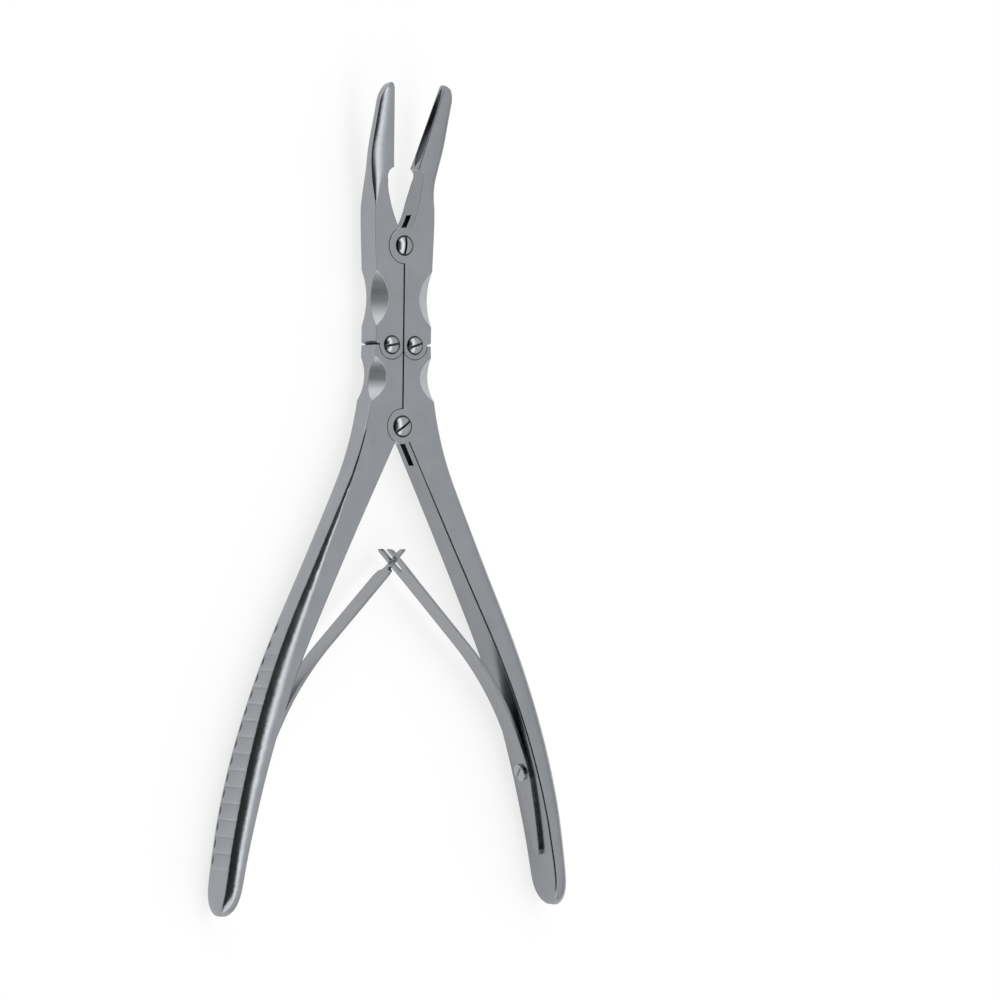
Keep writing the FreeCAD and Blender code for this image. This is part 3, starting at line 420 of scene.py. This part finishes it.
def smooth_copy(node, name):
    """A merged copy of a CAD node's mesh that can be shaded smoothly."""
    source = frame["nodes"][node]
    mesh = source.data.copy()
    mesh.name = name
    mesh.materials.clear()
    piece = bpy.data.objects.new(name, mesh)
    bpy.context.scene.collection.objects.link(piece)
    shape = bmesh.new()
    shape.from_mesh(mesh)
    bmesh.ops.remove_doubles(shape, verts=shape.verts, dist=MERGE_DISTANCE)
    bmesh.ops.dissolve_limit(shape, angle_limit=FLAT_ANGLE, verts=shape.verts,
                             edges=shape.edges, delimit={"NORMAL"})
    for face in shape.faces:
        face.smooth = True
    for edge in shape.edges:
        edge.smooth = len(edge.link_faces) == 2 and edge.calc_face_angle(0) < SHARP_ANGLE
    shape.to_mesh(mesh)
    shape.free()
    return piece


def body_of_node(node):
    for body, members in frame["record"]["behaviour"]["bodies"].items():
        if node in members:
            return body
    raise RuntimeError("no body holds " + node)


def finish_of_lever_face(centre, normal):
    """0 satin, 1 ground scallop, 2 shaded wall inside the joint block, 3 inner face in painted shade."""
    lift = abs(normal.z)
    height = abs(centre.z - HANDLE_PIVOT.z)
    aside = abs(centre.x)
    if BLOCK_FOOT < centre.y < BLOCK_HEAD:
        oblique = 0.15 < lift < 0.985
        if oblique and aside > SCALLOP_FROM_CENTRE and height > SCALLOP_FROM_MIDDLE:
            return 1
        if aside < JOINT_REACH and height < BLOCK_HALF - FRONT_SKIN:
            return 2
    return 3 if centre.x * normal.x < 0 and abs(normal.x) > 0.6 else 0


def finish_of_screw_face(centre, normal, middle, head_radius):
    """0 polished, 1 the shaded walls and floor of the driver slot."""
    away = math.hypot(centre.x - middle.x, centre.y - middle.y)
    in_head = centre.z > HEAD_FLOOR and away < head_radius - HEAD_RIM
    wall = abs(normal.z) < 0.3
    floor = normal.z > 0.9 and centre.z < SLOT_TOP
    return 1 if in_head and (wall or floor) else 0


def paint(piece, materials, finish):
    """Give every face the material that its place and direction ask for."""
    for material in materials:
        piece.data.materials.append(material)
    for face in piece.data.polygons:
        face.material_index = finish(Vector(face.center), Vector(face.normal))


class RONGEUR_OT_levers(bpy.types.Operator):
    """Dress the jaws and handles"""

    bl_idname = "rongeur.levers"
    bl_label = "Levers"

    def execute(self, context):
        steel = context.scene.rongeur_steel
        plain, ridged = satin_steel(steel), ridged_steel(steel)
        # The inner steel is the satin steel in a darker colour: painted shade on faces turned to the centre plane
        inner = satin_steel(steel, "inner_blasted_steel", steel.inner)
        others = [scallop_steel(steel), shaded_steel(steel), inner]
        for node in ("left_jaw", "right_jaw", "left_handle", "right_handle"):
            piece = smooth_copy(node, node + "_steel")
            satin = ridged if "handle" in node else plain
            paint(piece, [satin] + others, finish_of_lever_face)
            # Large flat faces stay flat, and the small faces beside them bend
            even = piece.modifiers.new("even_shading", "WEIGHTED_NORMAL")
            even.keep_sharp = True
            even.weight = 100
            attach(piece, body_of_node(node))
            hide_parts(node)
        return {"FINISHED"}


class RONGEUR_OT_screws(bpy.types.Operator):
    """Dress the pivot screws and the spring screws"""

    bl_idname = "rongeur.screws"
    bl_label = "Screws"

    def execute(self, context):
        steel = context.scene.rongeur_steel
        finishes = [screw_steel(steel), shaded_steel(steel)]
        for node in ("jaw_pivot_screw", "handle_pivot_screw", "left_link_screw",
                     "right_link_screw", "left_spring_screw", "right_spring_screw"):
            middle = node_middle(node)
            piece = smooth_copy(node, node + "_polished")
            radius = max(abs(vertex.co.x - middle.x) for vertex in piece.data.vertices)
            paint(piece, finishes, lambda centre, normal: finish_of_screw_face(
                centre, normal, middle, radius))
            self.lay_radially(piece, middle, 0 if "spring" in node else 1 / radius)
            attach(piece, body_of_node(node))
            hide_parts(node)
        return {"FINISHED"}

    def lay_radially(self, piece, middle, scale):
        """A UV map whose U runs from the screw's axis to the rim of its head."""
        mesh = piece.data
        radial = mesh.uv_layers.new(name="radial")
        for loop in mesh.loops:
            spot = mesh.vertices[loop.vertex_index].co
            away = math.hypot(spot.x - middle.x, spot.y - middle.y) * scale
            radial.data[loop.index].uv = (away, spot.z)


class RONGEUR_OT_springs(bpy.types.Operator):
    """Dress the leaf springs, which in the real instrument bend as the handles close"""

    bl_idname = "rongeur.springs"
    bl_label = "Leaf springs"

    def execute(self, context):
        polished = leaf_steel(context.scene.rongeur_steel)
        for side, other in (("left", "right"), ("right", "left")):
            node = side + "_spring"
            piece = smooth_copy(node, node + "_leaf")
            self.divide(piece)
            paint(piece, [polished], lambda centre, normal: 0)
            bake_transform(piece)
            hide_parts(node)
        return {"FINISHED"}

    def divide(self, piece):
        """Cut the leaf across at short steps."""
        shape = bmesh.new()
        shape.from_mesh(piece.data)
        low = min(vertex.co.y for vertex in shape.verts)
        high = max(vertex.co.y for vertex in shape.verts)
        for number in range(1, int((high - low) / LEAF_STEP)):
            everything = shape.verts[:] + shape.edges[:] + shape.faces[:]
            bmesh.ops.bisect_plane(shape, geom=everything, dist=0.001 * MM,
                                   plane_co=(0, low + number * LEAF_STEP, 0),
                                   plane_no=(0, 1, 0))
        shape.to_mesh(piece.data)
        shape.free()


class RONGEUR_OT_stage(bpy.types.Operator):
    """Set the floor, the light and the camera"""

    bl_idname = "rongeur.stage"
    bl_label = "Stage"

    def execute(self, context):
        stage = context.scene.rongeur_stage
        scene = context.scene
        scene.view_settings.view_transform = "Standard"
        self.floor(scene)
        self.studio(scene, stage)
        self.camera(scene, stage)
        return {"FINISHED"}

    def floor(self, scene):
        """Pale floor that keeps the shadow and meets the white of the backdrop."""
        shape = bmesh.new()
        bmesh.ops.create_grid(shape, x_segments=1, y_segments=1, size=3.0)
        mesh = bpy.data.meshes.new("floor")
        shape.to_mesh(mesh)
        shape.free()
        floor = bpy.data.objects.new("floor", mesh)
        scene.collection.objects.link(floor)
        material, tree, shader = new_material("pale_floor", (0.8, 0.8, 0.8), 0.0, 0.9)
        shadowed = tree.nodes.new("ShaderNodeBsdfDiffuse")
        shadowed.inputs["Color"].default_value = (0.32, 0.32, 0.32, 1)
        glow = tree.nodes.new("ShaderNodeEmission")
        glow.inputs["Color"].default_value = (0.74, 0.74, 0.74, 1)
        white = tree.nodes.new("ShaderNodeAddShader")
        tree.links.new(shadowed.outputs["BSDF"], white.inputs[0])
        tree.links.new(glow.outputs["Emission"], white.inputs[1])
        seen = tree.nodes.new("ShaderNodeMixShader")
        tree.links.new(in_view(tree), seen.inputs["Fac"])
        tree.links.new(shader.outputs["BSDF"], seen.inputs[1])
        tree.links.new(white.outputs["Shader"], seen.inputs[2])
        tree.links.new(seen.outputs["Shader"], tree.nodes["Material Output"].inputs["Surface"])
        mesh.materials.append(material)

    def studio(self, scene, stage):
        """Long softbox overhead, open to the right and flagged dark to the left."""
        world = bpy.data.worlds.new("studio")
        scene.world = world
        world.use_nodes = True
        tree = world.node_tree
        direction = tree.nodes.new("ShaderNodeTexCoord")
        parts = split(tree, direction.outputs["Generated"])
        around = calculate(tree, "ARCTAN2", parts["X"], parts["Z"])
        # To the left the softbox reaches lower at both ends than in the middle
        offset = calculate(tree, "SUBTRACT", parts["Y"], FLAG_MIDDLE)
        aside = calculate(tree, "ABSOLUTE", offset)
        beyond = calculate(tree, "SUBTRACT", aside, FLAG_HALF)
        beyond = calculate(tree, "MAXIMUM", beyond, 0.0)
        lower = calculate(tree, "MULTIPLY", beyond, FLAG_FALL)
        moved = calculate(tree, "ADD", around, lower)
        right_half = calculate(tree, "MAXIMUM", around, 0.0)
        bent = calculate(tree, "MINIMUM", moved, right_half)
        # Degrees from straight up, towards the right, with the light seen there
        lights = ((-128, 0.9), (-120, stage.flag), (-8, stage.flag), (4, stage.softbox),
                  (13, stage.softbox), (22, stage.side_light), (60, stage.side_light),
                  (90, 0.5))
        light = colour_ramp(tree, map_range(tree, bent, -math.pi, math.pi), [
            ((angle + 180) / 360, (level, level, level)) for angle, level in lights])
        path = tree.nodes.new("ShaderNodeLightPath")
        white = (1, 1, 1, 1)
        seen = mix_colours(tree, path.outputs["Is Camera Ray"], light, white)
        background = tree.nodes["Background"]
        tree.links.new(seen, background.inputs["Color"])
        background.inputs["Strength"].default_value = 1.0

    def camera(self, scene, stage):
        """The camera of the photo, far off so that the view is nearly parallel."""
        low, high = CAD_BOX
        aim = Vector((0, (low.y + high.y) / 2 - AIM_DROP, HANDLE_PIVOT.z))
        right = Vector((math.cos(stage.turn), 0, math.sin(stage.turn)))
        level = Vector((-math.sin(stage.turn), 0, math.cos(stage.turn)))
        up = Vector((0, math.cos(stage.tilt), 0)) - level * math.sin(stage.tilt)
        back = Vector((0, math.sin(stage.tilt), 0)) + level * math.cos(stage.tilt)
        turned_right = right * math.cos(stage.roll) + up * math.sin(stage.roll)
        turned_up = up * math.cos(stage.roll) - right * math.sin(stage.roll)
        data = bpy.data.cameras.new("camera")
        camera = bpy.data.objects.new("camera", data)
        axes = Matrix((turned_right, turned_up, back)).transposed()
        camera.matrix_world = Matrix.Translation(aim + back * stage.distance) @ axes.to_4x4()
        data.sensor_fit = "HORIZONTAL"
        data.lens = data.sensor_width * stage.distance / stage.picture_width
        data.shift_x = stage.off_centre
        data.clip_start = 0.05
        data.clip_end = 20.0
        scene.collection.objects.link(camera)
        scene.camera = camera


class RONGEUR_PT_panel(bpy.types.Panel):
    """Lists the makers of the instrument in the sidebar"""

    bl_idname = "RONGEUR_PT_panel"
    bl_label = "Rongeur"
    bl_space_type = "VIEW_3D"
    bl_region_type = "UI"
    bl_category = "Rongeur"

    def draw(self, context):
        column = self.layout.column()
        for maker in MAKERS:
            column.operator(maker.bl_idname)
        for group in (context.scene.rongeur_steel, context.scene.rongeur_stage):
            for name in group.__annotations__:
                column.prop(group, name)


MAKERS = (RONGEUR_OT_levers, RONGEUR_OT_screws, RONGEUR_OT_springs, RONGEUR_OT_stage)
CLASSES = (RongeurSteel, RongeurStage, *MAKERS, RONGEUR_PT_panel)


def register():
    for item in CLASSES:
        bpy.utils.register_class(item)
    bpy.types.Scene.rongeur_steel = bpy.props.PointerProperty(type=RongeurSteel)
    bpy.types.Scene.rongeur_stage = bpy.props.PointerProperty(type=RongeurStage)


def unregister():
    del bpy.types.Scene.rongeur_stage
    del bpy.types.Scene.rongeur_steel
    for item in reversed(CLASSES):
        bpy.utils.unregister_class(item)


def main():
    register()
    bpy.ops.rongeur.levers()
    bpy.ops.rongeur.screws()
    bpy.ops.rongeur.springs()
    bpy.ops.rongeur.stage()


if __name__ == "__main__":
    main()
